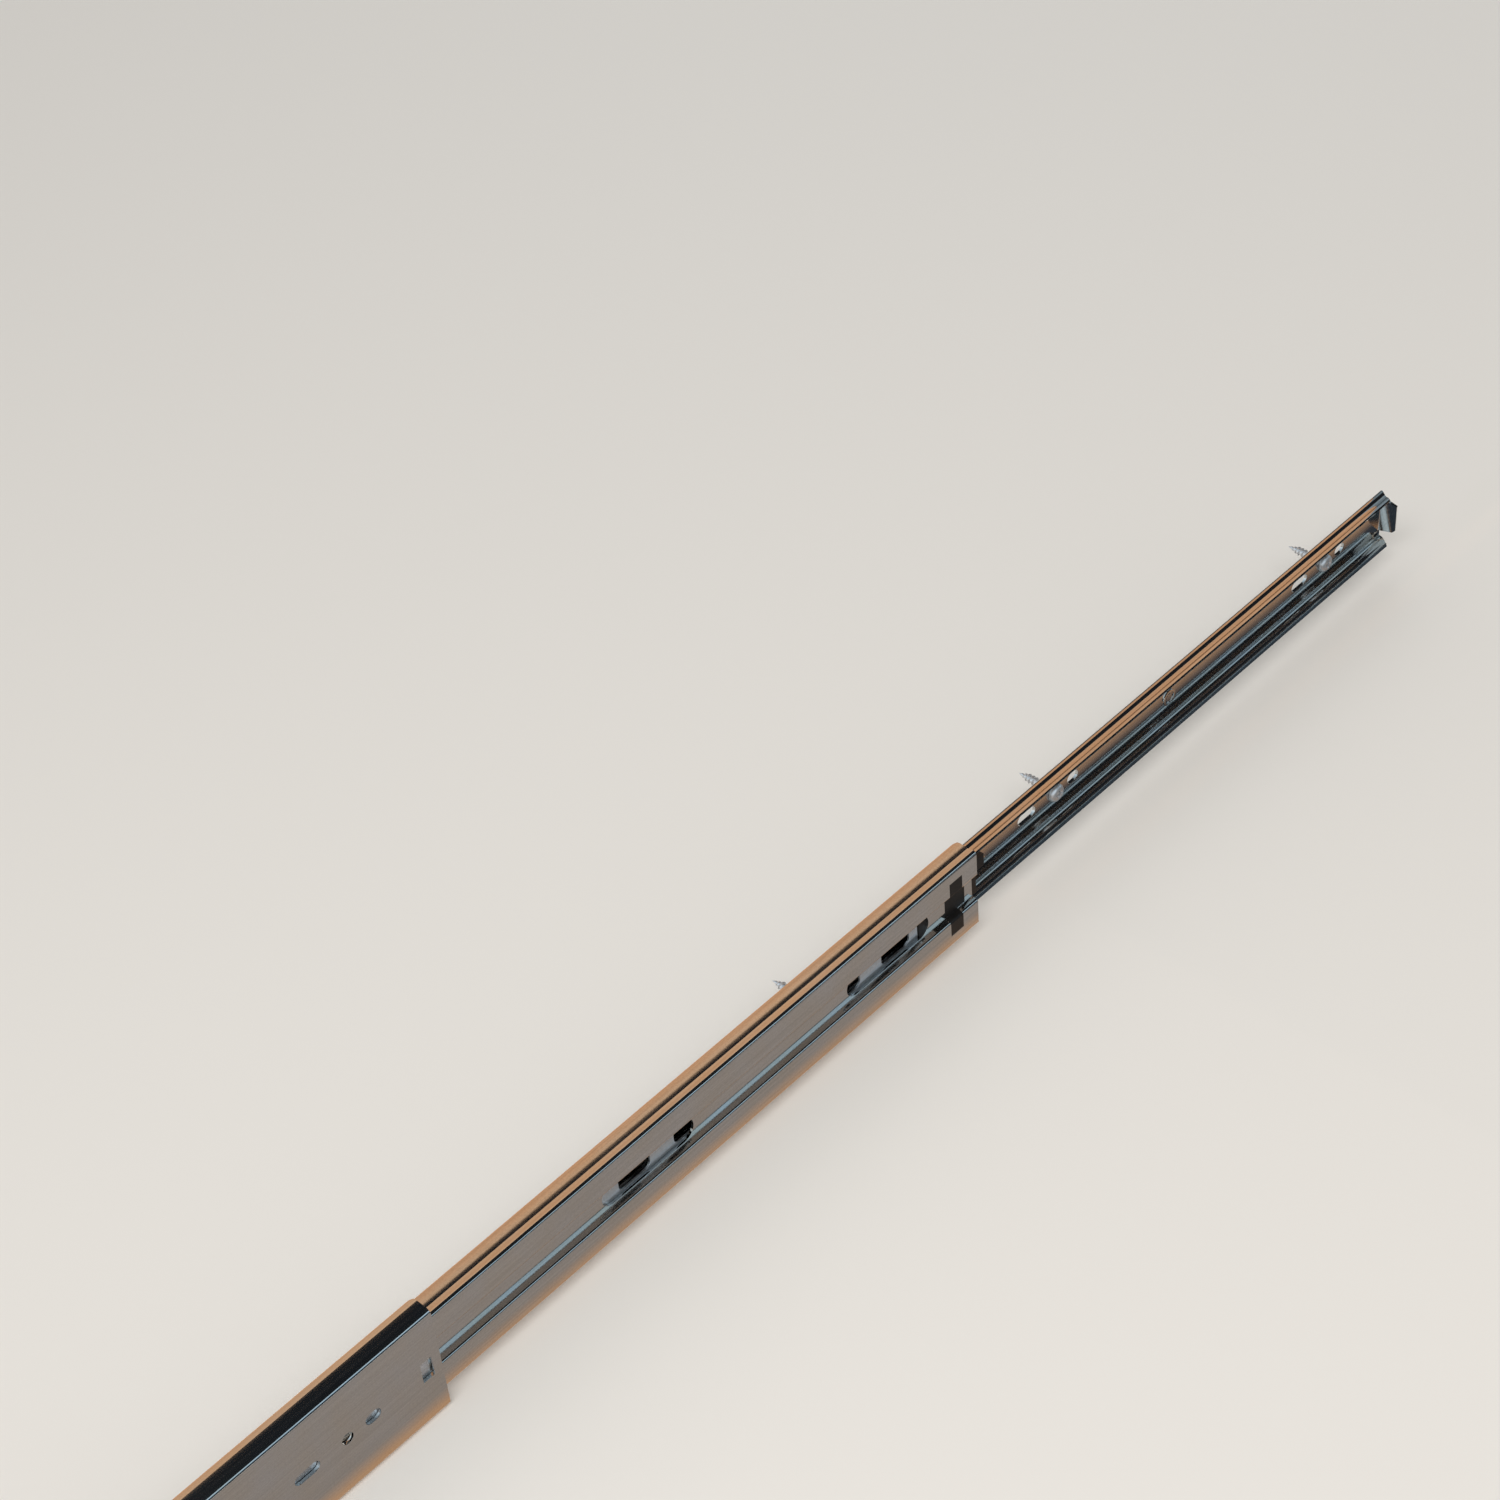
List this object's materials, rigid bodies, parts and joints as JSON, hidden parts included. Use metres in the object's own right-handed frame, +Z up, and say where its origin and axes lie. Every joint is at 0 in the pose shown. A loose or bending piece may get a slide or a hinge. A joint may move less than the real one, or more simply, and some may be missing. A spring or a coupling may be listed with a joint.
{
  "type": "drawer slide",
  "caption": "Full-extension telescopic ball-bearing drawer slide of bright zinc-plated rolled steel, drawn fully open, with bent front tab and black plastic stop clip.",
  "frame": {"origin": "on the cabinet mounting face, at mid-height, at the front end of the cabinet member", "axes": "+X the way the drawer opens, +Y from the cabinet towards the drawer, +Z up"},
  "size_m": [1.0022, 0.0275, 0.045],
  "materials": {
    "cabinet_rail_zinc": "bright zinc plate",
    "middle_rail_zinc": "bright zinc plate",
    "drawer_rail_zinc": "bright zinc plate",
    "cage_zinc": "bright zinc plate",
    "ball_steel": "ground and polished",
    "rivet_steel": "satin zinc plate",
    "screw_zinc": "bright zinc plate",
    "black_plastic": "moulded, satin"
  },
  "bodies": {
    "cabinet_side": {"outer_member": "cabinet_rail_zinc", "outer_rear_bumper": "black_plastic", "outer_bumper_rivet": "rivet_steel"},
    "outer_cage": {"outer_ball_cage": "cage_zinc", "outer_balls_upper": "ball_steel", "outer_balls_lower": "ball_steel"},
    "middle": {"middle_member": "middle_rail_zinc", "middle_front_clip": "black_plastic", "middle_rear_bumper": "black_plastic", "middle_bumper_rivet": "rivet_steel"},
    "inner_cage": {"inner_ball_cage": "cage_zinc", "inner_balls_upper": "ball_steel", "inner_balls_lower": "ball_steel"},
    "drawer_side": {"inner_member": "drawer_rail_zinc", "drawer_screws": "screw_zinc"}
  },
  "joints": [
    {"name": "middle_slide", "type": "slide", "parent": "cabinet_side", "child": "middle", "axis": [1, 0, 0], "range_m": [-0.25, 0]},
    {"name": "outer_cage_slide", "type": "slide", "parent": "cabinet_side", "child": "outer_cage", "axis": [1, 0, 0], "range_m": [-0.125, 0]},
    {"name": "inner_slide", "type": "slide", "parent": "middle", "child": "drawer_side", "axis": [1, 0, 0], "range_m": [-0.246, 0]},
    {"name": "inner_cage_slide", "type": "slide", "parent": "middle", "child": "inner_cage", "axis": [1, 0, 0], "range_m": [-0.123, 0]}
  ],
  "couplings": [
    {"joint": "outer_cage_slide", "follows": "middle_slide", "ratio": 0.5},
    {"joint": "inner_cage_slide", "follows": "inner_slide", "ratio": 0.5}
  ]
}
